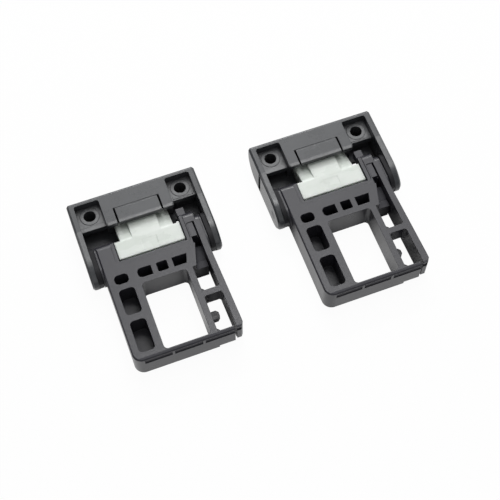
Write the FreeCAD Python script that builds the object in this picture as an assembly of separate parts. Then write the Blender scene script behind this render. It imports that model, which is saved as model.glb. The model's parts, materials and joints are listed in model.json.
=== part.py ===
"""Pair of document feeder hinges, open flat and lying side by side.

Each hinge has a base arm that drops into a slot in the scanner's body, and a lid bracket that is
screwed to the feeder lid. Two plain pins join them. A nylon cam slider in the bracket is pushed by
two coil springs against the rounded rear lip of the arm's deck: closing the lid folds the bracket up
and over the arm, and the slider climbs the lip and compresses the springs.

Millimetres, +Z up, +X across the pair, +Y from the arm towards the bracket's back edge. The origin
is under the middle of the pair, on the table.
"""
import FreeCAD, Part
import math
import os

# The pair
HINGE_PITCH = 63.6

# Lid bracket
BRACKET_WIDTH = 44.0
BRACKET_HEIGHT = 10.8
BRACKET_REACH = 24.1
CHEEK_WALL = 2.2
BACK_CORNER_RADIUS = 8.0
SHELL_WALL = 1.5
EDGE_ROUND = 0.8
CHEEK_EDGE_CUT = 0.6
NOSE_LEAD = 3.4
NOSE_TOP_RADIUS = 12.0
DECK_THICKNESS = 1.8
DECK_LENGTH = 12.0
DECK_NOSE_ROUND = 1.2
DECK_CORNER_CUT = 0.4
SCREW_SPACING = 31.3
SCREW_SETBACK = 4.9
SCREW_HOLE = 4.0
SCREW_SEAT = 6.4
SCREW_SEAT_RISE = 0.15
SCREW_SEAT_SIDES = 18
SCREW_BOSS = 7.0
POCKET_WIDTH = 8.5
POCKET_DEPTH = 3.2
POCKET_FLOOR = 2.2
POCKET_ROUND = 0.8
FLOOR_NOSE_ROUND = 1.8
LEFT_FLOOR_LENGTH = 8.5
RIGHT_FLOOR_LENGTH = 7.4
TAB_WIDTH = 14.5
TAB_LENGTH = 5.7
TAB_SLIT = 0.6
TAB_CREASE = 0.12
GUIDE_SETBACK = 1.8
SPRING_WALL = 1.5
SPRING_WALL_SETBACK = 4.1
SIDE_SLOT_WIDTH = 1.7
SIDE_SLOT_DEPTH = 1.1
SIDE_SLOT_SETBACK = 10.4
SIDE_SLOT_RIM = 0.9

# Pivot
PIN_DIAMETER = 3.0
PIN_BITE = 1.9
WASHER_THICKNESS = 1.5
WASHER_TOP_DROP = 0.6
EAR_PAD_THICKNESS = 0.7
EAR_PAD_INSET = 0.4
PLATE_FRONT = 5.2
PLATE_ROUND = 4.2

# Cam slider and its springs
SLIDER_WIDTH = 22.2
SLIDER_NECK_WIDTH = 18.2
SLIDER_HEAD_LENGTH = 6.2
SLIDER_BAND_WIDTH = 9.8
SLIDER_BAND_FALL = 4.0
SLIDER_FLANK_FALL = 20.0
SLIDER_FALL_ROUND = 3.0
SLIDER_FALL_START = 5.5
SLIDER_NOSE_ROUND = 0.7
SLIDER_NOSE_WALL = 2.4
SLIDER_DIMPLE_WIDTH = 5.3
SLIDER_DIMPLE_LENGTH = 4.4
SLIDER_DIMPLE_DEPTH = 0.25
SPRING_SPACING = 5.4
SPRING_DIAMETER = 3.4
SPRING_WIRE = 0.6
SPRING_TURNS = 5
SPRING_STEPS = 6
SPRING_WIRE_SIDES = 4
SPIGOT_LENGTH = 2.4

# Base arm
ARM_REACH = 35.9
ARM_HEIGHT = 9.8
ARM_CORNER_RADIUS = 3.2
ARM_EDGE_CUT = 0.4
ARM_FLOOR = 1.6
EAR_LENGTH = 7.4
EAR_ROUND = 2.6
CAM_LIP_RADIUS = 2.2
NOTCH_STEP = 1.2
NOTCH_STEP_DEPTH = 0.35
NOTCH_STEP_ROUND = 2.0
HEEL_LENGTH = 1.9
HEEL_WIDTH = 4.8
LUG_LENGTH = 2.2
LUG_WIDTH = 2.7
LUG_TOP_DROP = 1.4
LEFT_WALL = 2.5
FRONT_WALL = 1.4
FRONT_GROOVE_DEPTH = 0.9
FRONT_GROOVE_HEIGHT = 2.3
FRONT_LIP = 0.6
FRONT_TIE_SPACING = 10.0
FRONT_TIE_WIDTH = 0.8
TRAY_WIDTH = 5.2
TRAY_FRONT_WALL = 2.8
FRONT_TRAY_LENGTH = 10.9
BACK_TRAY_LENGTH = 9.1
SIDE_RIB = 2.5
WINDOW_WIDTH = 15.1
WINDOW_LENGTH = 23.7
WINDOW_ROUND = 1.3
CROSS_RIB = 2.0
CELL_LENGTH = 3.3
CELL_RIB = 1.8
CELL_ROUND = 1.3
CELL_CORNER_CUT = 0.3
FIRST_CELL_WIDTH = 4.5
SECOND_CELL_WIDTH = 4.7
THIRD_CELL_WIDTH = 3.5
LAST_CELL_WIDTH = 5.0
LAST_CELL_SLANT = 0.9
LATCH_RIB = 2.1
LATCH_RIB_HEIGHT = 6.0
RAIL_WALL = 2.0
RAIL_FLARE = 0.8
RAIL_GAP = 0.5
RAIL_TIP = 1.8
RAIL_FLARE_FRONT = 3.6
CHANNEL_DEPTH = 3.8
CHANNEL_BACK_WIDTH = 2.1
CHANNEL_FRONT_WIDTH = 4.3
CHANNEL_SILL = 2.4
CHANNEL_SILL_RISE = 0.4
EAR_HOLE_WIDTH = 2.5
EAR_HOLE_LENGTH = 2.5
EAR_HOLE_SETBACK = 0.4
EAR_HOLE_DEPTH = 7.6
EAR_SLIT_WIDTH = 0.5
EAR_SLIT_DEPTH = 2.0
EAR_FLAT_DEPTH = 0.3
PEG_LENGTH = 3.3
PEG_WIDTH = 2.9
PEG_HEIGHT = 2.5
PEG_CORNER_CUT = 0.8
PEG_SETBACK = 8.3
TOE_LIFT = 1.0
CORE_WIDTH = 19.0
CORE_LENGTH = 2.4

# Clearances
WASHER_GAP = 0.1
RUNNING_CLEARANCE = 0.05
SLIDE_CLEARANCE = 0.3
CAM_GAP = 0.4
STOP_CLEARANCE = 0.6
SWING_CLEARANCE = 0.3
SPRING_CLEARANCE = 0.2
SPRING_SEAT_GAP = 0.05

# How far cutters run past a face, and how straight an edge is
PAST = 1.0
TINY = 1e-6

# Places that follow from the sizes
pivot_y = (ARM_REACH - BRACKET_REACH) / 2
pivot_z = BRACKET_HEIGHT / 2
cheek_inside = BRACKET_WIDTH / 2 - CHEEK_WALL
arm_side = cheek_inside - WASHER_THICKNESS - WASHER_GAP - EAR_PAD_THICKNESS
arm_front = pivot_y - ARM_REACH
ear_back = pivot_y + EAR_LENGTH
heel_back = ear_back + HEEL_LENGTH
rail_inside = arm_side - RAIL_WALL
bracket_back = pivot_y + BRACKET_REACH
deck_front = bracket_back - DECK_LENGTH
deck_under = BRACKET_HEIGHT - DECK_THICKNESS
pocket_back = bracket_back - SHELL_WALL
pocket_side = SCREW_SPACING / 2 - POCKET_WIDTH / 2
pocket_floor_top = BRACKET_HEIGHT - POCKET_DEPTH
screw_x = SCREW_SPACING / 2
screw_y = bracket_back - SCREW_SETBACK
guide_side = SLIDER_NECK_WIDTH / 2 + SLIDE_CLEARANCE
spring_seat = bracket_back - SPRING_WALL_SETBACK
slider_travel = ARM_HEIGHT - pivot_z
slider_front = pivot_y + CAM_GAP
slider_back = spring_seat - slider_travel - STOP_CLEARANCE
slider_bottom = SHELL_WALL + SLIDE_CLEARANCE
slider_top = deck_under - SLIDE_CLEARANCE
notch_side = SLIDER_WIDTH / 2 + SLIDE_CLEARANCE
spring_z = (slider_bottom + slider_top) / 2
spring_bore = SPRING_DIAMETER / 2 + SPRING_CLEARANCE
spring_front = slider_front + SLIDER_NOSE_WALL
lug_top = ARM_HEIGHT - LUG_TOP_DROP
ear_sweep = math.hypot(EAR_LENGTH - EAR_ROUND, pivot_z - EAR_ROUND) + EAR_ROUND
lug_sweep = math.hypot(EAR_LENGTH + HEEL_LENGTH + LUG_LENGTH, lug_top - pivot_z)
tray_x = -arm_side + LEFT_WALL
window_x = tray_x + TRAY_WIDTH + SIDE_RIB
latch_x = window_x + WINDOW_WIDTH + LATCH_RIB
front_inside = arm_front + FRONT_WALL
window_back = front_inside + WINDOW_LENGTH
back_tray = window_back - BACK_TRAY_LENGTH
cell_front = window_back + CROSS_RIB
cell_back = cell_front + CELL_LENGTH


def vec(x, y, z):
    return FreeCAD.Vector(x, y, z)


def box(x0, x1, y0, y1, z0, z1):
    return Part.makeBox(x1 - x0, y1 - y0, z1 - z0, vec(x0, y0, z0))


def rod_x(x0, x1, radius, y, z):
    """Cylinder along X."""
    return Part.makeCylinder(radius, x1 - x0, vec(x0, y, z), vec(1, 0, 0))


def rod_z(x, y, z0, z1, radius):
    """Cylinder along Z."""
    return Part.makeCylinder(radius, z1 - z0, vec(x, y, z0))


def arc(start, middle, end):
    return Part.Arc(start, middle, end).toShape()


def line(start, end):
    return Part.LineSegment(start, end).toShape()


def polygon_prism(points, z0, z1):
    """Upright prism over a closed outline of (x, y) corners."""
    corners = [vec(x, y, z0) for x, y in points]
    face = Part.Face(Part.makePolygon(corners + corners[:1]))
    return face.extrude(vec(0, 0, z1 - z0))


def ring_points(x, y, radius, count):
    """Corners of a regular outline about (x, y)."""
    angles = [2 * math.pi * corner / count for corner in range(count)]
    return [(x + radius * math.cos(angle), y + radius * math.sin(angle)) for angle in angles]


def upright_edges(shape):
    return [edge for edge in shape.Edges if edge.Length - edge.BoundBox.ZLength < TINY]


def rounded_well(x0, x1, y0, y1, z0, z1, radius):
    """Upright prism over a rectangle with round corners, used to sink wells and windows."""
    well = box(x0, x1, y0, y1, z0, z1)
    return well.makeFillet(radius, upright_edges(well))


def edge_round(x0, x1, y, z, radius, y_out, z_out):
    """Cutter that rounds an edge along X at (y, z), whose solid lies against y_out and z_out."""
    y_in = y - y_out * radius
    z_in = z - z_out * radius
    y0, y1 = sorted((y_in, y + y_out * PAST))
    z0, z1 = sorted((z_in, z + z_out * PAST))
    return box(x0, x1, y0, y1, z0, z1).cut(rod_x(x0, x1, radius, y_in, z_in))


def mirrored(shape):
    return shape.mirror(vec(0, 0, 0), vec(1, 0, 0))


def both_sides(shape):
    """The shape and its mirror image across the hinge's middle plane."""
    return [shape, mirrored(shape)]


def side_profile(inset, x0, x1):
    """The bracket's side outline from x0 to x1, moved inwards by inset at the back and the bottom.

    The nose is a quarter round below the pivot and a longer, flatter curve above it, and the lower back
    corner is a large round.
    """
    top = BRACKET_HEIGHT
    back = bracket_back - inset
    bend = BACK_CORNER_RADIUS - inset
    bend_y = bracket_back - BACK_CORNER_RADIUS
    diagonal = math.sqrt(0.5)
    nose = (top - inset) / 2
    reach = nose + NOSE_LEAD
    tip_radius = (2 * NOSE_TOP_RADIUS * nose - reach ** 2 - nose ** 2) / (2 * (NOSE_TOP_RADIUS - reach))
    tip = vec(x0, pivot_y - nose, inset + nose)
    tip_centre = tip + vec(0, tip_radius, 0)
    top_start = vec(x0, pivot_y + NOSE_LEAD, top)
    top_centre = top_start - vec(0, 0, NOSE_TOP_RADIUS)
    outwards = (tip_centre - top_centre).normalize()
    joint = top_centre + outwards * NOSE_TOP_RADIUS
    tip_middle = tip_centre + (outwards + vec(0, -1, 0)).normalize() * tip_radius
    top_middle = top_centre + (outwards + vec(0, 0, 1)).normalize() * NOSE_TOP_RADIUS
    edges = [
        line(top_start, vec(x0, back - EDGE_ROUND, top)),
        arc(vec(x0, back - EDGE_ROUND, top),
            vec(x0, back - EDGE_ROUND * (1 - diagonal), top - EDGE_ROUND * (1 - diagonal)),
            vec(x0, back, top - EDGE_ROUND)),
        line(vec(x0, back, top - EDGE_ROUND), vec(x0, back, BACK_CORNER_RADIUS)),
        arc(vec(x0, back, BACK_CORNER_RADIUS),
            vec(x0, bend_y + bend * diagonal, BACK_CORNER_RADIUS - bend * diagonal),
            vec(x0, bend_y, inset)),
        line(vec(x0, bend_y, inset), vec(x0, pivot_y, inset)),
        arc(vec(x0, pivot_y, inset), vec(x0, pivot_y - nose * diagonal, tip.z - nose * diagonal), tip),
        arc(tip, tip_middle, joint),
        arc(joint, top_middle, top_start),
    ]
    return Part.Face(Part.Wire(edges)).extrude(vec(x1 - x0, 0, 0))


def pivot_plate(x0, x1, low, high):
    """Plate about the pivot: well rounded in front, and with the ear's round corners behind."""
    front = pivot_y - PLATE_FRONT
    rounds = []
    for z, z_out in ((low, -1), (high, 1)):
        rounds.append(edge_round(x0, x1, front, z, PLATE_ROUND, -1, z_out))
        rounds.append(edge_round(x0, x1, ear_back, z, EAR_ROUND, 1, z_out))
    return box(x0, x1, front, ear_back, low, high).cut(rounds)


def swing_bay(x0, x1, sweep):
    """Cutter for the opening in the bracket's floor through which an ear of that sweep swings down."""
    back = pivot_y + math.sqrt(sweep ** 2 - (pivot_z - SHELL_WALL) ** 2) + SWING_CLEARANCE
    return box(x0 - SWING_CLEARANCE, x1 + SWING_CLEARANCE, pivot_y - BRACKET_WIDTH / 2, back, -PAST, pivot_z)


def spring_post(side, y0, y1):
    """Square bar about the right spring's axis, reaching side to each side of it."""
    x = SPRING_SPACING / 2
    return box(x - side, x + side, y0, y1, spring_z - side, spring_z + side)


def bracket_shell(outline):
    """Walls of the bracket: cheeks, deck, round back and floor, open at the front for the arm and washers."""
    half = BRACKET_WIDTH / 2
    above = BRACKET_HEIGHT + PAST
    bay_front = pivot_y - half
    inside = side_profile(SHELL_WALL, -cheek_inside, cheek_inside)
    hollow = inside.common(box(-half, half, deck_front - PAST, bracket_back, 0, deck_under))
    arm_bay = box(-cheek_inside, cheek_inside, bay_front, deck_front, SHELL_WALL, above)
    pad_side = arm_side + EAR_PAD_THICKNESS
    ear_bay = swing_bay(-pad_side, pad_side, ear_sweep)
    lug_bay = swing_bay(notch_side, notch_side + HEEL_WIDTH, lug_sweep)
    washer_bay = box(-cheek_inside, cheek_inside, bay_front, pivot_y, -PAST, above)
    deck_nose = edge_round(-cheek_inside, cheek_inside, deck_front, BRACKET_HEIGHT, DECK_NOSE_ROUND, -1, 1)
    return outline.cut([hollow, arm_bay, ear_bay, lug_bay, washer_bay, deck_nose])


def screw_pocket(shell, outline, side, floor_length):
    """Sink one screw pocket into the deck, with floor, seat, boss and hole, and trim the deck's corner."""
    above = BRACKET_HEIGHT + PAST
    x0, x1 = sorted((side * pocket_side, side * cheek_inside))
    floor_bottom = pocket_floor_top - POCKET_FLOOR
    floor_nose = pocket_back - floor_length
    pocket = rounded_well(x0, x1, deck_front - 2 * PAST, pocket_back, pocket_floor_top, above, POCKET_ROUND)
    floor = box(x0, x1, floor_nose, bracket_back, floor_bottom, pocket_floor_top)
    floor = floor.cut(edge_round(x0, x1, floor_nose, pocket_floor_top, FLOOR_NOSE_ROUND, -1, 1))
    seat_top = pocket_floor_top + SCREW_SEAT_RISE
    seat_rim = ring_points(side * screw_x, screw_y, SCREW_SEAT / 2, SCREW_SEAT_SIDES)
    seat = polygon_prism(seat_rim, floor_bottom, seat_top)
    boss_x = side * screw_x - SCREW_BOSS / 2
    boss_y = screw_y - SCREW_BOSS / 2
    boss = box(boss_x, boss_x + SCREW_BOSS, boss_y, boss_y + SCREW_BOSS, 0, pocket_floor_top)
    hole = rod_z(side * screw_x, screw_y, -PAST, above, SCREW_HOLE / 2)
    corner = side * pocket_side
    chamfer = polygon_prism(
        [(corner + side * PAST, deck_front - PAST),
         (corner - side * (DECK_CORNER_CUT + PAST), deck_front - PAST),
         (corner + side * PAST, deck_front + DECK_CORNER_CUT + PAST)],
        deck_under, above)
    return shell.cut([pocket, chamfer]).fuse([floor.common(outline), seat, boss]).cut(hole)


def lid_bracket():
    """The shell with its screw pockets, spring tab, slider guides, spring wall and pin bores."""
    half = BRACKET_WIDTH / 2
    above = BRACKET_HEIGHT + PAST
    outline = side_profile(0, -half, half)
    rims = [edge for edge in outline.Edges if edge.BoundBox.XLength < TINY]
    outline = outline.makeChamfer(CHEEK_EDGE_CUT, rims)
    guide = box(guide_side, pocket_side, deck_front + GUIDE_SETBACK, bracket_back, 0, deck_under)
    spring_wall = box(-guide_side, guide_side, spring_seat, spring_seat + SPRING_WALL, 0, deck_under)
    inner_walls = [wall.common(outline) for wall in both_sides(guide) + [spring_wall]]
    shell = bracket_shell(outline).fuse(inner_walls)
    shell = screw_pocket(shell, outline, -1, LEFT_FLOOR_LENGTH)
    shell = screw_pocket(shell, outline, 1, RIGHT_FLOOR_LENGTH)

    tab_side = TAB_WIDTH / 2
    tab_back = deck_front + TAB_LENGTH
    slit = box(tab_side, tab_side + TAB_SLIT, deck_front - PAST, tab_back, deck_under - PAST / 2, above)
    crease = box(-tab_side, tab_side, tab_back - TAB_SLIT, tab_back, BRACKET_HEIGHT - TAB_CREASE, above)
    pin_bore = rod_x(cheek_inside - PAST, half + PAST, PIN_DIAMETER / 2, pivot_y, pivot_z)
    slot_back = bracket_back - SIDE_SLOT_SETBACK
    side_slot = box(half - SIDE_SLOT_DEPTH, half + PAST, slot_back - SIDE_SLOT_WIDTH, slot_back,
                    SIDE_SLOT_RIM, BRACKET_HEIGHT - SIDE_SLOT_RIM)
    cuts = [crease]
    for cutter in (slit, pin_bore, side_slot):
        cuts.extend(both_sides(cutter))
    shell = shell.cut(cuts)

    spigot_side = (SPRING_DIAMETER / 2 - SPRING_WIRE - SPRING_CLEARANCE) * math.sqrt(0.5)
    spigot = spring_post(spigot_side, spring_seat - SPIGOT_LENGTH, spring_seat)
    return shell.fuse(both_sides(spigot)).removeSplitter()


def falling_top(x0, x1, degrees):
    """Cutter from x0 to x1 that bends the slider's top down towards the back by an angle."""
    above = slider_top + PAST
    start = slider_front + SLIDER_FALL_START
    end = slider_back + PAST
    centre = slider_top - SLIDER_FALL_ROUND
    angle = math.radians(degrees)
    bend = [vec(x0, start + SLIDER_FALL_ROUND * math.sin(turn), centre + SLIDER_FALL_ROUND * math.cos(turn))
            for turn in (0, angle / 2, angle)]
    low = vec(x0, end, bend[2].z - (end - bend[2].y) * math.tan(angle))
    edges = [
        arc(*bend),
        line(bend[2], low),
        line(low, vec(x0, end, above)),
        line(vec(x0, end, above), vec(x0, start, above)),
        line(vec(x0, start, above), bend[0]),
    ]
    return Part.Face(Part.Wire(edges)).extrude(vec(x1 - x0, 0, 0))


def cam_slider():
    """Nylon follower: a flat wide head against the arm's cam lip and a falling neck between the guides."""
    head_side = SLIDER_WIDTH / 2
    neck_side = SLIDER_NECK_WIDTH / 2
    band_side = SLIDER_BAND_WIDTH / 2
    dimple_side = SLIDER_DIMPLE_WIDTH / 2
    head_back = slider_front + SLIDER_HEAD_LENGTH
    head = box(-head_side, head_side, slider_front, head_back, slider_bottom, slider_top)
    neck = box(-neck_side, neck_side, slider_front, slider_back, slider_bottom, slider_top)
    nose = edge_round(-head_side, head_side, slider_front, slider_top, SLIDER_NOSE_ROUND, -1, 1)
    heel = side_profile(SHELL_WALL + SLIDE_CLEARANCE, -head_side, head_side)
    heel.translate(vec(0, -slider_travel, 0))
    dimple = box(-dimple_side, dimple_side, slider_front - PAST, slider_front + SLIDER_DIMPLE_LENGTH,
                 slider_top - SLIDER_DIMPLE_DEPTH, slider_top + PAST)
    band = falling_top(-band_side, band_side, SLIDER_BAND_FALL)
    flank = falling_top(band_side, head_side + PAST, SLIDER_FLANK_FALL)
    bore = spring_post(spring_bore, spring_front, slider_back + PAST)
    body = head.fuse(neck).common(heel)
    return body.cut([nose, dimple, band] + both_sides(flank) + both_sides(bore)).removeSplitter()


def spring(x):
    """Compression spring with closed ends, from the slider's bore to the bracket's spring wall."""
    wire_radius = SPRING_WIRE / 2
    coil_radius = SPRING_DIAMETER / 2 - wire_radius
    front = spring_front + SPRING_SEAT_GAP + wire_radius
    back = spring_seat - SPRING_SEAT_GAP - wire_radius
    open_turns = SPRING_TURNS - 2
    open_pitch = (back - front - 2 * SPRING_WIRE) / open_turns
    coil = []
    for step in range(SPRING_TURNS * SPRING_STEPS + 1):
        turn = step / SPRING_STEPS
        open_turn = min(max(turn - 1, 0), open_turns)
        angle = 2 * math.pi * turn
        coil.append(vec(x + coil_radius * math.cos(angle),
                        front + open_turn * open_pitch + (turn - open_turn) * SPRING_WIRE,
                        spring_z + coil_radius * math.sin(angle)))
    start = FreeCAD.Placement(coil[0], FreeCAD.Rotation(vec(0, 0, 1), coil[1] - coil[0]))
    rim = ring_points(0, 0, wire_radius, SPRING_WIRE_SIDES)
    section = [start.multVec(vec(across, along, 0)) for across, along in rim]
    wire_end = Part.makePolygon(section + section[:1])
    solid, frenet, mitred = True, False, 1
    return Part.makePolygon(coil).makePipeShell([wire_end], solid, frenet, mitred)


def hinge_pin():
    """Plain pin, pressed flush into the right cheek and running in the arm's ear."""
    return rod_x(arm_side - PIN_BITE, BRACKET_WIDTH / 2, PIN_DIAMETER / 2, pivot_y, pivot_z)


def washer():
    """Shaped washer on the right pin, between the cheek and the arm's ear, over the bracket's floor."""
    plate = pivot_plate(cheek_inside - WASHER_THICKNESS, cheek_inside, SHELL_WALL + WASHER_GAP,
                        BRACKET_HEIGHT - WASHER_TOP_DROP)
    bore = PIN_DIAMETER / 2 + RUNNING_CLEARANCE
    return plate.cut(rod_x(0, BRACKET_WIDTH, bore, pivot_y, pivot_z))


def arm_block():
    """The arm's outer block without its latch rail, with a round front left corner."""
    bar_end = rail_inside - RAIL_GAP / 2
    block = box(-arm_side, bar_end, arm_front, ear_back, 0, ARM_HEIGHT)
    corner = [edge for edge in upright_edges(block)
              if edge.CenterOfMass.x < 0 and edge.CenterOfMass.y < pivot_y]
    block = block.makeFillet(ARM_CORNER_RADIUS, corner)
    rim = [edge for edge in block.Edges
           if edge.BoundBox.ZMin > ARM_HEIGHT - PAST
           and edge.CenterOfMass.y < pivot_y
           and (edge.CenterOfMass.x < tray_x or edge.CenterOfMass.y < arm_front + FRONT_WALL)]
    return block.makeChamfer(ARM_EDGE_CUT, rim)


def latch_rail():
    """Springy right rail, flared outwards towards its free tip."""
    root_front = pivot_y - EAR_LENGTH
    tip_front = arm_front + RAIL_GAP
    flare_front = arm_front + RAIL_FLARE_FRONT
    return polygon_prism(
        [(rail_inside - RAIL_GAP, ear_back),
         (arm_side, ear_back),
         (arm_side, root_front),
         (arm_side + RAIL_FLARE, flare_front),
         (arm_side + RAIL_FLARE, arm_front + RAIL_TIP),
         (arm_side, tip_front),
         (rail_inside + RAIL_GAP, tip_front),
         (rail_inside + RAIL_GAP, flare_front),
         (rail_inside, root_front),
         (rail_inside - RAIL_GAP, root_front)],
        0, ARM_HEIGHT)


def arm_wells():
    """Cutters for the main window, the two trays on its left and the row of cells behind it."""
    above = ARM_HEIGHT + PAST
    window_right = window_x + WINDOW_WIDTH
    front_tray = arm_front + TRAY_FRONT_WALL
    wells = [rounded_well(window_x, window_right, front_inside, window_back, -PAST, above, WINDOW_ROUND)]
    for front, length in ((front_tray, FRONT_TRAY_LENGTH), (back_tray, BACK_TRAY_LENGTH)):
        back = front + length
        wells.append(rounded_well(tray_x, tray_x + TRAY_WIDTH, front, back, ARM_FLOOR, above, WINDOW_ROUND))

    second_x = window_x
    third_x = second_x + SECOND_CELL_WIDTH + CELL_RIB
    cell_x = third_x + THIRD_CELL_WIDTH + CELL_RIB
    first_end = tray_x + FIRST_CELL_WIDTH
    wells.append(rounded_well(tray_x, first_end, cell_front, cell_back, ARM_FLOOR, above, CELL_ROUND))
    second = box(second_x, second_x + SECOND_CELL_WIDTH, cell_front, cell_back, ARM_FLOOR, above)
    round_end = [edge for edge in upright_edges(second) if edge.CenterOfMass.x < second_x + PAST]
    wells.append(second.makeFillet(CELL_ROUND, round_end))
    third = box(third_x, third_x + THIRD_CELL_WIDTH, cell_front, cell_back, ARM_FLOOR, above)
    wells.append(third.makeChamfer(CELL_CORNER_CUT, upright_edges(third)))
    slanted = polygon_prism(
        [(cell_x, cell_front),
         (cell_x + LAST_CELL_WIDTH - LAST_CELL_SLANT, cell_front),
         (cell_x + LAST_CELL_WIDTH, cell_back),
         (cell_x, cell_back)],
        ARM_FLOOR, above)
    return wells + [slanted]


def latch_cuts():
    """Cutters for the window beside the latch rail, the channel behind it, and the ear's hole and slit."""
    above = ARM_HEIGHT + PAST
    hole_back = pivot_y - EAR_HOLE_SETBACK
    hole_front = hole_back - EAR_HOLE_LENGTH
    hole_x = rail_inside - EAR_HOLE_WIDTH
    slit_x = rail_inside - EAR_SLIT_WIDTH
    flat_back = ear_back - EAR_ROUND
    channel_floor = ARM_HEIGHT - CHANNEL_DEPTH
    window = box(latch_x, rail_inside, front_inside, window_back, -PAST, above)
    channel = polygon_prism(
        [(rail_inside, window_back),
         (rail_inside, hole_front),
         (rail_inside - CHANNEL_BACK_WIDTH, hole_front),
         (rail_inside - CHANNEL_FRONT_WIDTH, window_back)],
        channel_floor, above)
    sill = box(latch_x, rail_inside, window_back, window_back + CHANNEL_SILL, channel_floor,
               channel_floor + CHANNEL_SILL_RISE)
    hole = box(hole_x, rail_inside, hole_front, hole_back, ARM_HEIGHT - EAR_HOLE_DEPTH, above)
    flat = box(hole_x, slit_x, hole_back, flat_back, ARM_HEIGHT - EAR_FLAT_DEPTH, above)
    slit = box(slit_x, rail_inside, hole_back, flat_back, ARM_HEIGHT - EAR_SLIT_DEPTH, above)
    return [window, channel.cut(sill), hole, flat, slit]


def front_cuts():
    """Cutters for the groove along the front face, between its two ties, and for the raised toe."""
    groove_top = ARM_HEIGHT - FRONT_LIP
    groove = box(-arm_side + ARM_CORNER_RADIUS, arm_side, arm_front - PAST, arm_front + FRONT_GROOVE_DEPTH,
                 groove_top - FRONT_GROOVE_HEIGHT, groove_top)
    tie_x = (FRONT_TIE_SPACING - FRONT_TIE_WIDTH) / 2
    tie = box(tie_x, tie_x + FRONT_TIE_WIDTH, arm_front - PAST, front_inside, 0, ARM_HEIGHT)
    toe = box(latch_x, arm_side + RAIL_FLARE + PAST, arm_front - PAST, front_inside, -PAST, TOE_LIFT)
    return [groove.cut(both_sides(tie)), toe]


def notch_step():
    """Cutter for the shallow step around the slider's notch."""
    side = notch_side + NOTCH_STEP
    return rounded_well(-side, side, pivot_y - CAM_LIP_RADIUS, heel_back + NOTCH_STEP_ROUND + PAST,
                        ARM_HEIGHT - NOTCH_STEP_DEPTH, ARM_HEIGHT + PAST, NOTCH_STEP_ROUND)


def ear_cuts():
    """Cutters for the slider's notch with its cam lip, and for the round ends of the ears."""
    notch = box(-notch_side, notch_side, pivot_y, ear_back + PAST, -PAST, ARM_HEIGHT + PAST)
    cam_lip = edge_round(-notch_side, notch_side, pivot_y, ARM_HEIGHT, CAM_LIP_RADIUS, 1, 1)
    ends = [edge_round(-arm_side - PAST, arm_side + PAST, ear_back, z, EAR_ROUND, 1, z_out)
            for z, z_out in ((0, -1), (ARM_HEIGHT, 1))]
    return [notch, cam_lip] + ends


def base_arm():
    """Moulded frame: ears with a notch for the slider, a row of cells, trays, windows and a latch."""
    arm = arm_block().fuse(latch_rail()).cut(ear_cuts())
    pad_top = ARM_HEIGHT - EAR_PAD_INSET
    pad = pivot_plate(arm_side - PAST, arm_side + EAR_PAD_THICKNESS, EAR_PAD_INSET, pad_top)
    heel_end = notch_side + HEEL_WIDTH
    heel = box(notch_side, heel_end, pivot_y, heel_back, pivot_z, ARM_HEIGHT)
    heel = heel.cut(edge_round(notch_side, heel_end, heel_back, ARM_HEIGHT, EAR_ROUND, 1, 1))
    lug = box(notch_side, notch_side + LUG_WIDTH, pivot_y, heel_back + LUG_LENGTH, pivot_z, lug_top)
    arm = arm.fuse(both_sides(pad) + [heel, lug])

    bore_end = arm_side - PIN_BITE - RUNNING_CLEARANCE
    pin_bore = rod_x(bore_end, cheek_inside, PIN_DIAMETER / 2 + RUNNING_CLEARANCE, pivot_y, pivot_z)
    core_front = cell_back + CELL_RIB
    core = box(-CORE_WIDTH / 2, CORE_WIDTH / 2, core_front, core_front + CORE_LENGTH, -PAST, pivot_z)
    arm = arm.cut(arm_wells() + latch_cuts() + front_cuts() + both_sides(pin_bore) + [notch_step(), core])

    rib_front = back_tray - CROSS_RIB
    rib_end = rail_inside + RAIL_GAP
    rib = box(latch_x, rib_end, rib_front, back_tray, ARM_HEIGHT - LATCH_RIB_HEIGHT, ARM_HEIGHT)
    peg_front = arm_front + PEG_SETBACK
    peg = box(latch_x, latch_x + PEG_LENGTH, peg_front, peg_front + PEG_WIDTH, 0, PEG_HEIGHT)
    peg_end = [edge for edge in upright_edges(peg) if edge.CenterOfMass.x > latch_x + PAST]
    peg = peg.makeChamfer(PEG_CORNER_CUT, peg_end)
    return arm.fuse([rib, peg]).removeSplitter()


def hinge_pieces():
    """Every piece of one hinge about its own middle plane, by name."""
    pin = hinge_pin()
    ring = washer()
    return {
        "base_arm": base_arm(),
        "lid_bracket": lid_bracket(),
        "cam_slider": cam_slider(),
        "left_spring": spring(-SPRING_SPACING / 2),
        "right_spring": spring(SPRING_SPACING / 2),
        "left_pin": mirrored(pin),
        "right_pin": pin,
        "left_washer": mirrored(ring),
        "right_washer": ring,
    }


os.makedirs("parts", exist_ok=True)
pieces = hinge_pieces()
for hinge, hinge_x in (("hinge_a", -HINGE_PITCH / 2), ("hinge_b", HINGE_PITCH / 2)):
    for name, shape in pieces.items():
        placed = shape.copy()
        placed.translate(vec(hinge_x, 0, 0))
        placed.exportStep(f"parts/{hinge}_{name}.step")
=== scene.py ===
"""Studio scene of a pair of document feeder hinges that lie open on a pale table."""
import json
import math

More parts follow.
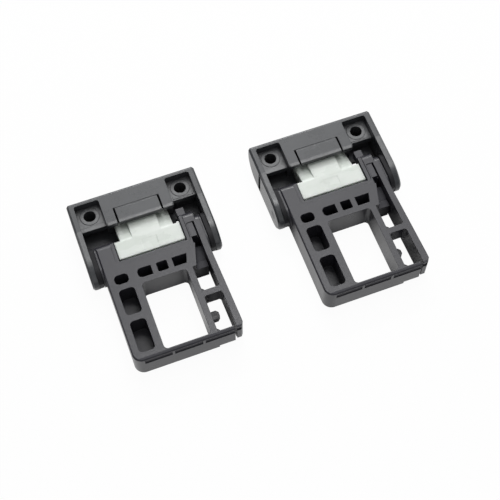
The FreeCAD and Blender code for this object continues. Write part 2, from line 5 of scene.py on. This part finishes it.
import bmesh
import bpy
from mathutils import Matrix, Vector


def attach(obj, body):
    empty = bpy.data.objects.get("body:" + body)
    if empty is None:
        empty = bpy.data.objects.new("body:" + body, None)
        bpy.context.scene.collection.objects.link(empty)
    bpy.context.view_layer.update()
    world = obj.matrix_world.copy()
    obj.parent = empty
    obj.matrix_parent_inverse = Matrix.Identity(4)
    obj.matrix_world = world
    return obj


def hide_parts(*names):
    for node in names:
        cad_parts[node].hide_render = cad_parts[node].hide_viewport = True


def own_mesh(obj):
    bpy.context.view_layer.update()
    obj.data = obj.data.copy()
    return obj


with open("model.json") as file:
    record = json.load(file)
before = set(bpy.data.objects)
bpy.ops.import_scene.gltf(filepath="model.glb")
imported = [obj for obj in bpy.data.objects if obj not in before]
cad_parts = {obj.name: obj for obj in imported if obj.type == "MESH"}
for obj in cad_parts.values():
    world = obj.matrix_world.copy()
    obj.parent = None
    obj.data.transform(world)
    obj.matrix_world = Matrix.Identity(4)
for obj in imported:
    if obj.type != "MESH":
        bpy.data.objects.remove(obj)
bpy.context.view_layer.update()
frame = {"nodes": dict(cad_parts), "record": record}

# Lengths below are in millimetres, and MM turns them into Blender's metres.
MM = 0.001
# Where the middle of each hinge, and of each spring in a hinge, lies along X.
HINGES = {"hinge_a": -31.8, "hinge_b": 31.8}
SPRING_SIDES = {"left": -2.7, "right": 2.7}
# Where the inner faces of the bracket's cheeks lie, to both sides of the hinge's middle.
CHEEK_INSIDE = 19.8
ARM_COLOURS = {"body": (0.022, 0.022, 0.028), "flow": (0.028, 0.028, 0.035), "edge_wear_and_highlight": (0.13, 0.13, 0.14)}


class Strand:
    """A number or colour on its way through the nodes; sums on strands add Math nodes."""

    def __init__(self, nodes, socket):
        self.nodes = nodes
        self.socket = socket

    def sum(self, operation, first, second):
        return self.nodes.add("Math", {"operation": operation}, {0: first, 1: second})

    def __add__(self, other):
        return self.sum("ADD", self, other)

    def __radd__(self, other):
        return self.sum("ADD", other, self)

    def __sub__(self, other):
        return self.sum("SUBTRACT", self, other)

    def __rsub__(self, other):
        return self.sum("SUBTRACT", other, self)

    def __mul__(self, other):
        return self.sum("MULTIPLY", self, other)

    def __rmul__(self, other):
        return self.sum("MULTIPLY", other, self)


class Nodes:
    """The nodes of a material or a world under construction."""

    def __init__(self, owner):
        owner.use_nodes = True
        self.tree = owner.node_tree
        self.tree.nodes.clear()

    def add(self, kind, settings=None, sockets=None, output=0):
        """Add a node: its settings first, then the values or links of its sockets."""
        node = self.tree.nodes.new("ShaderNode" + kind)
        for name, value in (settings or {}).items():
            setattr(node, name, value)
        for name, value in (sockets or {}).items():
            if isinstance(value, Strand):
                self.tree.links.new(value.socket, node.inputs[name])
            else:
                node.inputs[name].default_value = value
        return Strand(self, node.outputs[output]) if node.outputs else None

    def seen_straight(self):
        """1 where the camera looks straight at it."""
        return self.add("LightPath", output="Is Camera Ray")

    def seen_by_way_of_gloss(self):
        """1 where it is seen in a glossy surface or through a clear one."""
        mirrored = self.add("LightPath", output="Is Glossy Ray")
        passed = self.add("LightPath", output="Is Transmission Ray")
        return mirrored + passed


class Finish(Nodes):
    """One material under construction."""

    def __init__(self, name):
        self.material = bpy.data.materials.new(name)
        super().__init__(self.material)

    def place(self):
        """Position on the piece, in metres."""
        return self.add("TexCoord", output="Object")

    def axis(self, letter):
        """One coordinate of the position on the piece, in metres."""
        return self.add("SeparateXYZ", None, {"Vector": self.place()}, output=letter)

    def noise(self, size, detail=2.0, roughness=0.5, stretch=(1, 1, 1)):
        """Soft random field whose lumps are about size across, times stretch along each axis."""
        scale = [1 / (size * MM * part) for part in stretch]
        where = self.add("VectorMath", {"operation": "MULTIPLY"}, {0: self.place(), 1: scale})
        limits = {"Vector": where, "Scale": 1.0, "Detail": detail, "Roughness": roughness}
        return self.add("TexNoise", None, limits)

    def ramp(self, value, low, high):
        """Value stretched so that low becomes 0 and high becomes 1, and held there."""
        limits = {"Value": value, "From Min": low, "From Max": high, "To Min": 0.0, "To Max": 1.0}
        return self.add("MapRange", {"clamp": True}, limits)

    def past(self, coordinate, start, full):
        """Mask that grows from 0 to 1 between two places along a coordinate."""
        return self.ramp(coordinate, start * MM, full * MM)

    def mix(self, factor, first, second):
        return self.add("Mix", {"data_type": "RGBA"}, {0: factor, 6: first, 7: second}, output=2)

    def open_air(self, distance, samples):
        """Share of the sky that no face within that distance hides."""
        return self.add("AmbientOcclusion", {"samples": samples}, {"Distance": distance * MM}, output="AO")

    def edges(self, radius):
        """Normal that rolls over the sharp edges, and a mask that is 1 along the outer ones."""
        samples = 6
        rolled = self.add("Bevel", {"samples": samples}, {"Radius": radius * MM})
        flat = self.add("NewGeometry", output="Normal")
        facing = self.add("VectorMath", {"operation": "DOT_PRODUCT"}, {0: rolled, 1: flat}, output="Value")
        turned = self.ramp(1 - facing, 0.01, 0.25)
        outer = self.ramp(self.open_air(3 * radius, samples), 0.75, 0.95)
        return rolled, turned * outer

    def hidden(self, distance, start, full):
        """Mask of what is closed in, from the share of open sky at its start to the share where it is 1."""
        return self.ramp(self.open_air(distance, samples=8), start, full)

    def bump(self, height, depth, normal):
        """Relief of height, so many millimetres deep, on top of a normal."""
        limits = {"Height": height, "Strength": 1.0, "Distance": depth * MM, "Normal": normal}
        return self.add("Bump", None, limits)

    def surface(self, **sockets):
        """Close the finish with a Principled shader, whose sockets are given by name."""
        named = {name.replace("_", " "): value for name, value in sockets.items()}
        shader = self.add("BsdfPrincipled", None, named)
        self.add("OutputMaterial", None, {"Surface": shader})
        return self.material


def colour(red, green, blue):
    return (red, green, blue, 1.0)


def nowhere(finish):
    """Mask that is 0 all over."""
    return 0.0


def upward_faces(finish):
    facing = finish.add("TexCoord", output="Normal")
    return finish.ramp(finish.add("SeparateXYZ", None, {"Vector": facing}, output="Z"), 0.8, 0.9)


def front_bar_and_channel(finish):
    """The front bar's top, apart from a lip at the window, and the floor of the latch channel."""
    along, height = finish.axis("Y"), finish.axis("Z")
    bar = finish.past(along, -28.8, -29.0) * finish.past(height, 9.3, 9.6)
    channel = finish.past(along, -5.3, -5.1) * finish.past(along, 3.4, 3.2)
    channel_floor = finish.past(height, 5.7, 5.9) * finish.past(height, 6.7, 6.5)
    return bar + channel * channel_floor * upward_faces(finish)


def pocket_floors(finish):
    """The floors of the screw pockets, painted lighter partly as scuffs and partly as a painted highlight,
    and the deck's front edge, painted lighter as a highlight.
    """
    along, height = finish.axis("Y"), finish.axis("Z")
    floors = finish.past(height, 6.9, 7.2) * finish.past(height, 8.1, 7.9)
    # Painted highlight: the deck's front edge is made lighter.
    deck_edge = finish.past(along, 19.3, 18.9) * finish.past(height, 10.3, 10.5)
    return floors * upward_faces(finish) + deck_edge


def moulded_plastic(name, body, flow, edge_wear_and_highlight, roughness, shine, hollow_shade_and_dullness,
                    dull=nowhere, scuffs_and_highlight=nowhere, soft=0.25):
    """Black moulded plastic: spark-eroded grain, flow clouding, fine scuffs, and lighter edges that are
    partly polished by handling and partly a painted highlight.

    It has the colours of its body, its flow marks and its edges, which are lighter partly from wear and
    partly as a painted highlight. The hollow strength says how much painted shade darkens deep hollows, and
    how dull they are. Two functions say where the plastic is left dull, and where it is painted lighter,
    partly as scuffs from use and partly as a painted highlight. Soft is the radius of the edges.
    """
    # A lighter tone for scuffs and painted highlight, and a near-black one for painted shade in hollows.
    scuff_and_highlight_tone, painted_hollow_shade = colour(0.115, 0.118, 0.122), colour(0.01, 0.01, 0.012)
    finish = Finish(name)
    rolled, edge = finish.edges(soft)
    clouds = finish.ramp(finish.noise(6.0, detail=3.0), 0.3, 0.7)
    grain = finish.noise(0.2, detail=2.0, roughness=0.6)
    scuffs = finish.ramp(finish.noise(0.5, detail=3.0, roughness=0.6, stretch=(14, 1, 3)), 0.62, 0.75)
    rub = finish.ramp(finish.noise(2.2, detail=4.0, roughness=0.65), 0.4, 0.7)
    # Mask of deep hollows, which get painted shade in the colour and are also left duller.
    deep = finish.hidden(9.0, 0.45, 0.2)
    corner = finish.hidden(0.8, 0.8, 0.5)
    tint = finish.mix(clouds * 0.8, colour(*body), colour(*flow))
    # Painted lighter where the given function says so: partly scuffs, partly a painted highlight.
    scuffed_and_highlit = finish.mix(scuffs_and_highlight(finish) * (0.6 + rub * 0.4), tint, scuff_and_highlight_tone)
    # Painted shade: deep hollows are darkened towards near-black.
    shaded = finish.mix(deep * hollow_shade_and_dullness, scuffed_and_highlit, painted_hollow_shade)
    # Outer edges made lighter: partly wear, partly a painted highlight.
    edges_worn_and_highlit = finish.mix(edge * (0.25 + rub * 0.5), shaded, colour(*edge_wear_and_highlight))
    matt = dull(finish) * 0.35 + deep * (0.6 * hollow_shade_and_dullness) + corner * 0.15
    shown = roughness + clouds * 0.05 + grain * 0.07 + scuffs * 0.08 - edge * 0.06 + matt
    relief = finish.bump(grain, 0.01, rolled)
    return finish.surface(Base_Color=edges_worn_and_highlit, Roughness=shown, Specular_IOR_Level=shine, Normal=relief)


def arm_plastic():
    return moulded_plastic("arm_plastic", **ARM_COLOURS, roughness=0.24, shine=0.39, hollow_shade_and_dullness=0.25,
                           dull=front_bar_and_channel)


def groove_plastic():
    """The arm's plastic where the mould left it rough."""
    return moulded_plastic("groove_plastic", **ARM_COLOURS, roughness=0.55, shine=0.3, hollow_shade_and_dullness=0.25)


def bracket_plastic():
    return moulded_plastic("bracket_plastic", body=(0.024, 0.027, 0.031), flow=(0.031, 0.034, 0.039),
                           edge_wear_and_highlight=(0.14, 0.145, 0.15), roughness=0.22, shine=0.48, hollow_shade_and_dullness=1.0,
                           scuffs_and_highlight=pocket_floors)


def lip_plastic():
    """The bracket's plastic on thin lips, which have their own round edges; its body and flow colours are a
    little lighter than the bracket's, a painted highlight.
    """
    return moulded_plastic("lip_plastic", body=(0.026, 0.029, 0.033), flow=(0.032, 0.035, 0.04),
                           edge_wear_and_highlight=(0.14, 0.145, 0.15), roughness=0.22, shine=0.48, hollow_shade_and_dullness=0.5,
                           scuffs_and_highlight=pocket_floors, soft=0.05)


def washer_plastic():
    return moulded_plastic("washer_plastic", body=(0.014, 0.014, 0.016), flow=(0.018, 0.018, 0.02),
                           edge_wear_and_highlight=(0.06, 0.06, 0.065), roughness=0.5, shine=0.15, hollow_shade_and_dullness=0.6)


def milky_nylon():
    """Natural nylon: milky, a little green, with soft flow marks under a smooth skin, and edges painted paler
    as a highlight.
    """
    finish = Finish("milky_nylon")
    rolled, edge = finish.edges(0.45)
    flow = finish.ramp(finish.noise(3.5, detail=3.0, stretch=(2, 1, 1)), 0.3, 0.7)
    skin = finish.noise(0.5)
    tint = finish.mix(flow, colour(0.645, 0.695, 0.645), colour(0.705, 0.745, 0.705))
    # Painted highlight: edges are mixed towards a paler colour.
    pale = finish.mix(edge * 0.5, tint, colour(0.80, 0.83, 0.79))
    return finish.surface(Base_Color=pale, Roughness=0.24 + flow * 0.08,
                          Normal=finish.bump(skin, 0.005, rolled), Subsurface_Weight=0.6,
                          Subsurface_Radius=(1.0, 1.0, 1.0), Subsurface_Scale=0.0025)


def drawn_wire():
    """Bright spring wire with fine drawing marks."""
    finish = Finish("drawn_wire")
    marks = finish.noise(0.3, detail=4.0, roughness=0.7)
    tone = finish.mix(marks, colour(0.42, 0.42, 0.43), colour(0.62, 0.62, 0.63))
    return finish.surface(Base_Color=tone, Metallic=1.0, Roughness=0.28 + marks * 0.2)


def oxide_steel():
    """Blackened pin steel with a faint turned grain."""
    finish = Finish("oxide_steel")
    rolled, edge = finish.edges(0.15)
    turned = finish.noise(0.35, detail=3.0, roughness=0.6)
    tone = finish.mix(edge * 0.6, colour(0.08, 0.08, 0.085), colour(0.25, 0.25, 0.26))
    return finish.surface(Base_Color=tone, Metallic=0.7, Roughness=0.35 + turned * 0.15,
                          Normal=finish.bump(turned, 0.004, rolled))


def dress(finishes):
    """Give every CAD node the finish of its material slot."""
    for row in frame["record"]["subparts"]:
        node = frame["nodes"][row["node"]]
        node.data.materials.clear()
        node.data.materials.append(finishes[row["material_slot"]])


def finished_mesh(name, shape, bend=35):
    """Close a shape: faces outwards, bends of up to so many degrees smooth and corners sharp."""
    bmesh.ops.recalc_face_normals(shape, faces=shape.faces)
    for face in shape.faces:
        face.smooth = True
    mesh = bpy.data.meshes.new(name)
    shape.to_mesh(mesh)
    shape.free()
    mesh.set_sharp_from_angle(angle=math.radians(bend))
    return mesh


def prism(shape, *outlines):
    """Solid between two outlines of (x, y, z) corners, as many in one as in the other."""
    ends = [[shape.verts.new([value * MM for value in corner]) for corner in outline] for outline in outlines]
    count = len(ends[0])
    for corner in range(count):
        after = (corner + 1) % count
        shape.faces.new((ends[0][corner], ends[0][after], ends[1][after], ends[1][corner]))
    for end in ends:
        shape.faces.new(end)


def strip(shape, x0, x1, profile):
    """Bar along X between x0 and x1 over a closed outline of (y, z) corners."""
    prism(shape, *([(x, y, z) for y, z in profile] for x in (x0, x1)))


def coil_mesh(name, x):
    """Compression spring of round wire along Y at x, with a closed turn at each end."""
    turns, closed_turns, steps, sides = 10, 2, 28, 10
    coil_radius, wire, height = 1.4, 0.3, 5.25
    front, back = 8.75 + wire, 25.85 - wire
    pitch = (back - front - 2 * closed_turns * wire) / (turns - closed_turns)
    lengthwise = Vector((0, 1, 0))
    shape = bmesh.new()
    rings = []
    for step in range(turns * steps + 1):
        turn = step / steps
        loose = min(max(turn - closed_turns / 2, 0), turns - closed_turns)
        along = front + loose * pitch + (turn - loose) * 2 * wire
        angle = 2 * math.pi * turn
        outwards = Vector((math.cos(angle), 0, math.sin(angle)))
        middle = Vector((x, along, height)) + coil_radius * outwards
        ring = []
        for side in range(sides):
            around = 2 * math.pi * side / sides
            aside = math.cos(around) * outwards + math.sin(around) * lengthwise
            ring.append(shape.verts.new((middle + wire * aside) * MM))
        rings.append(ring)
    for ring, following in zip(rings, rings[1:]):
        for side in range(sides):
            after = (side + 1) % sides
            shape.faces.new((ring[side], ring[after], following[after], following[side]))
    shape.faces.new(rings[0])
    shape.faces.new(rings[-1])
    return finished_mesh(name, shape, bend=60)


def follower_mesh(name, block, hinge_x):
    """The slider's block with a tighter nose nearer to the arm, a shallower dimple and soft upper edges."""
    block_front, block_nose_y, block_nose_z, block_dimple_floor = 6.3, 7.0, 8.0, 8.45
    nose_y, nose_z, nose_radius = 6.28, 8.5, 0.2
    dimple_side, dimple_back, dimple_floor = 2.66, 10.71, 8.6
    softened_above, edge_offset, sharp_bend = 4, 0.35, 24
    near = 0.01
    shape = bmesh.new()
    shape.from_mesh(block)

    def place(corner):
        return corner.co.x / MM - hinge_x, corner.co.y / MM, corner.co.z / MM

    def over_dimple(across, along):
        return abs(across) < dimple_side and along < dimple_back

    def in_dimple(corner):
        across, along, up = place(corner)
        return over_dimple(across, along) and up > block_dimple_floor - near

    for corner in shape.verts:
        across, along, up = place(corner)
        if along < block_nose_y + near and up > block_nose_z - near:
            turn = math.atan2(block_nose_y - along, up - block_nose_z)
            corner.co.y = (nose_y - nose_radius * math.sin(turn)) * MM
            corner.co.z = (nose_z + nose_radius * math.cos(turn)) * MM
        elif along < block_front + near:
            corner.co.y = (nose_y - nose_radius) * MM
        elif over_dimple(across, along) and abs(up - block_dimple_floor) < near:
            corner.co.z = dimple_floor * MM
    bmesh.ops.remove_doubles(shape, verts=shape.verts, dist=0.005 * MM)
    bmesh.ops.dissolve_limit(shape, angle_limit=math.radians(1.0), verts=shape.verts, edges=shape.edges)
    sharp = [edge for edge in shape.edges
             if len(edge.link_faces) == 2 and edge.calc_face_angle() > math.radians(sharp_bend)
             and min(corner.co.z for corner in edge.verts) > softened_above * MM
             and not all(in_dimple(corner) for corner in edge.verts)]
    bmesh.ops.bevel(shape, geom=sharp, offset=edge_offset * MM, segments=3, profile=0.5, affect="EDGES",
                    clamp_overlap=True)
    return finished_mesh(name, shape)


def lip_mesh(name, hinge_x):
    """Gently rounded front edges of the deck, apart from the tab's slits, and of the two pocket floors."""
    deck = [(19.3, 10.79), (19.15, 10.785), (18.2, 10.68), (18.08, 10.62), (18.02, 10.52),
            (18.0, 10.4), (18.0, 9.7), (18.3, 9.9), (18.6, 10.3), (19.0, 10.6)]
    left_floor = [(21.9, 7.59), (21.75, 7.585), (20.2, 7.41), (20.08, 7.34), (20.02, 7.22),
                  (20.0, 7.1), (20.0, 6.0), (20.5, 6.2), (21.0, 6.9), (21.6, 7.3)]
    right_floor_set_back = 1.1
    right_floor = [(y + right_floor_set_back, z) for y, z in left_floor]
    slit_inside, slit_outside, deck_end, floor_inside = 7.23, 7.87, 11.0, 11.4
    shape = bmesh.new()
    for x0, x1 in ((-deck_end, -slit_outside), (-slit_inside, slit_inside), (slit_outside, deck_end)):
        strip(shape, hinge_x + x0, hinge_x + x1, deck)
    strip(shape, hinge_x - CHEEK_INSIDE, hinge_x - floor_inside, left_floor)
    strip(shape, hinge_x + floor_inside, hinge_x + CHEEK_INSIDE, right_floor)
    return finished_mesh(name, shape, bend=10)


def hub_mesh(name, hinge_x):
    """Round lower fronts of the two hubs, between each cheek and the arm."""
    pivot_y, pivot_z, inner, outer, hub_inside = 5.9, 5.4, 3.6, 5.3, 18.35
    turns = [math.radians(degrees) for degrees in range(165, 285, 10)]
    ring = [(pivot_y + outer * math.cos(turn), pivot_z + outer * math.sin(turn)) for turn in turns]
    ring += [(pivot_y + inner * math.cos(turn), pivot_z + inner * math.sin(turn)) for turn in reversed(turns)]
    shape = bmesh.new()
    strip(shape, hinge_x - CHEEK_INSIDE, hinge_x - hub_inside, ring)
    strip(shape, hinge_x + hub_inside, hinge_x + CHEEK_INSIDE, ring)
    return finished_mesh(name, shape)


def fillet(shape, x, y, x_in, y_in, low):
    """Upright fillet in a window's corner at (x, y), from low to the arm's top.

    The corner opens towards x_in and y_in, which are 1 or -1.
    """
    radius, root, top = 0.9, 0.05, 9.795
    turns = [math.radians(degrees) for degrees in range(0, 105, 15)]
    bend = [(x + x_in * radius * (1 - math.sin(turn)), y + y_in * radius * (1 - math.cos(turn)))
            for turn in turns]
    sunk = [(x + x_in * radius, y - y_in * root), (x - x_in * root, y - y_in * root),
            (x - x_in * root, y + y_in * radius)]
    prism(shape, *([(across, along, z) for across, along in bend + sunk] for z in (low, top)))


def window_fillet_mesh(name, hinge_x):
    """Round inner corners of the two windows beside the latch rail."""
    left, front_right, rear_right = 9.9, 15.79, 15.75
    front_start, front_end, rear_start = -28.6, -16.0, -14.0
    rib_underside, toe_underside = 3.8, 1.0
    corners = (
        (left, front_end, 1, -1, rib_underside),
        (front_right, front_end, -1, -1, rib_underside),
        (left, front_start, 1, 1, toe_underside),
        (left, rear_start, 1, 1, rib_underside),
        (rear_right, rear_start, -1, 1, rib_underside),
    )
    shape = bmesh.new()
    for x, y, x_in, y_in, low in corners:
        fillet(shape, hinge_x + x, y, x_in, y_in, low)
    return finished_mesh(name, shape)


def groove_floor_mesh(name, hinge_x):
    """Leaning floor of the groove along the arm's front, behind its two ties."""
    left, right = 14.25, 15.2
    profile = [(-29.72, 6.95), (-29.66, 8.2), (-29.55, 9.15), (-29.05, 9.15), (-29.05, 6.95)]
    shape = bmesh.new()
    strip(shape, hinge_x - left, hinge_x + right, profile)
    return finished_mesh(name, shape)


def fit(name, mesh, finish, body, replaced=None):
    """Put a piece on the body that carries it."""
    piece = bpy.data.objects.new(name, mesh)
    mesh.materials.append(finish)
    bpy.context.scene.collection.objects.link(piece)
    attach(piece, body)
    if replaced:
        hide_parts(replaced)
    return piece


def mouldings(lip_finish, hub_finish, fillet_finish, groove_finish):
    """Small moulded forms: lips and hubs on the bracket, window corners and the groove's floor on the arm."""
    for hinge, hinge_x in HINGES.items():
        lips, hubs = f"{hinge}_lips", f"{hinge}_hubs"
        fillets, groove_floor = f"{hinge}_window_fillets", f"{hinge}_groove_floor"
        fit(lips, lip_mesh(lips, hinge_x), lip_finish, f"{hinge}_lid")
        fit(hubs, hub_mesh(hubs, hinge_x), hub_finish, f"{hinge}_lid")
        fit(fillets, window_fillet_mesh(fillets, hinge_x), fillet_finish, "bases")
        fit(groove_floor, groove_floor_mesh(groove_floor, hinge_x), groove_finish, "bases")


def followers(finish):
    """Soft-edged nylon sliders in place of the plain blocks."""
    for hinge, hinge_x in HINGES.items():
        name, slider = f"{hinge}_follower", f"{hinge}_cam_slider"
        mesh = follower_mesh(name, frame["nodes"][slider].data, hinge_x)
        piece = fit(name, mesh, finish, f"{hinge}_slider", slider)
        piece.modifiers.new("flat_faces", "WEIGHTED_NORMAL").keep_sharp = True


def springs(finish):
    """Round-wire springs in place of the plain ones."""
    for hinge, hinge_x in HINGES.items():
        for side, offset in SPRING_SIDES.items():
            name = f"{hinge}_{side}_coil"
            mesh = coil_mesh(name, hinge_x + offset)
            piece = fit(name, mesh, finish, f"{hinge}_lid", f"{hinge}_{side}_spring")
            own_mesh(piece)


def table_finish():
    """Pale table that the camera sees as white, with the hinges' soft shadow left in. In reflections its glow
    is dimmed near the hinges by an occlusion mask, a painted shadow.
    """
    whiteness, mirrored_whiteness, shadow_reach = 0.96, 0.9, 12
    finish = Finish("table")
    paper = finish.add("BsdfDiffuse", None, {"Color": colour(0.9, 0.9, 0.9)})
    glow = finish.add("Emission", None, {"Color": colour(1, 1, 1), "Strength": 1.0})
    # Occlusion mask that dims the glow seen in reflections near the hinges: a painted shadow.
    unshaded = finish.ramp(finish.open_air(shadow_reach, samples=8), 0.28, 0.5)
    white = finish.seen_straight() * whiteness + finish.seen_by_way_of_gloss() * unshaded * mirrored_whiteness
    shown = finish.add("MixShader", None, {0: white, 1: paper, 2: glow})
    finish.add("OutputMaterial", None, {"Surface": shown})
    return finish.material


def table():
    """Plain table top, a hair below the hinges."""
    half_width, gap = 3.0, 0.02
    mesh = bpy.data.meshes.new("table_top")
    shape = bmesh.new()
    bmesh.ops.create_grid(shape, x_segments=1, y_segments=1, size=half_width)
    shape.to_mesh(mesh)
    shape.free()
    top = bpy.data.objects.new("table_top", mesh)
    top.location.z = -gap * MM
    mesh.materials.append(table_finish())
    bpy.context.scene.collection.objects.link(top)


def surroundings():
    """White room: a little light on the hinges, white to the camera and half as white in reflections."""
    fill_strength, mirrored_whiteness = 0.06, 0.5
    world = bpy.data.worlds.new("white_room")
    room = Nodes(world)
    fill = room.add("Background", None, {"Color": colour(1, 1, 1), "Strength": fill_strength})
    white = room.add("Background", None, {"Color": colour(1, 1, 1), "Strength": 1.0})
    share = room.seen_straight() + room.seen_by_way_of_gloss() * mirrored_whiteness
    shown = room.add("MixShader", None, {0: share, 1: fill, 2: white})
    room.add("OutputWorld", None, {"Surface": shown})
    bpy.context.scene.world = world


def softbox(name, direction, size, radiance):
    """Studio lamp, with its size in metres, seen in that direction from the hinges."""
    width, length = size
    distance = 0.9
    lamp = bpy.data.lights.new(name, "AREA")
    lamp.shape = "RECTANGLE"
    lamp.size = width
    lamp.size_y = length
    lamp.energy = radiance * math.pi * width * length
    holder = bpy.data.objects.new(name, lamp)
    holder.location = Vector(direction).normalized() * distance
    holder.rotation_euler = (-holder.location).to_track_quat("-Z", "Y").to_euler()
    bpy.context.scene.collection.objects.link(holder)


def studio_lights():
    """Soft lamps above and behind, which show as sheen on the black plastic, and a weak one in front."""
    softbox("canopy", (0.16, 0.51, 0.85), (0.75, 0.60), 2.3)
    softbox("overhead", (0.16, -0.15, 0.97), (0.60, 0.50), 0.9)
    softbox("top_strip", (0.16, 0.20, 0.97), (0.34, 0.14), 10.0)
    softbox("back_light", (0.16, 0.86, 0.48), (0.50, 0.30), 3.0)
    softbox("back_strip", (0.16, 0.73, 0.66), (0.34, 0.08), 22.0)
    softbox("front_fill", (-0.2, -0.75, 0.63), (0.80, 0.60), 0.8)


def camera():
    """The camera that the photograph was taken with, fitted to the hinges' outlines in a square frame."""
    azimuth, elevation = math.radians(20.441), math.radians(63.359)
    level = math.cos(elevation)
    forward = Vector((math.sin(azimuth) * level, math.cos(azimuth) * level, -math.sin(elevation)))
    lens = bpy.data.cameras.new("camera")
    lens.sensor_width = 36.0
    lens.lens = 78.86
    lens.clip_start = 0.01
    lens.clip_end = 20.0
    holder = bpy.data.objects.new("camera", lens)
    holder.location = Vector((-57.85, -153.72, 324.52)) * MM
    holder.rotation_euler = forward.to_track_quat("-Z", "Y").to_euler()
    bpy.context.scene.collection.objects.link(holder)
    bpy.context.scene.camera = holder


slot_finishes = {
    "arm_plastic": arm_plastic(),
    "bracket_plastic": bracket_plastic(),
    "washer_plastic": washer_plastic(),
    "nylon": milky_nylon(),
    "spring_steel": drawn_wire(),
    "pin_steel": oxide_steel(),
}
dress(slot_finishes)
# The frame brings plain plastics under the names of its slots.
# Hubs and window corners wear these, and not the finishes above.
mouldings(
    lip_finish=lip_plastic(),
    hub_finish=bpy.data.materials["bracket_plastic"],
    fillet_finish=bpy.data.materials["arm_plastic"],
    groove_finish=groove_plastic(),
)
followers(slot_finishes["nylon"])
springs(slot_finishes["spring_steel"])
table()
surroundings()
studio_lights()
camera()
bpy.context.scene.view_settings.view_transform = "Standard"
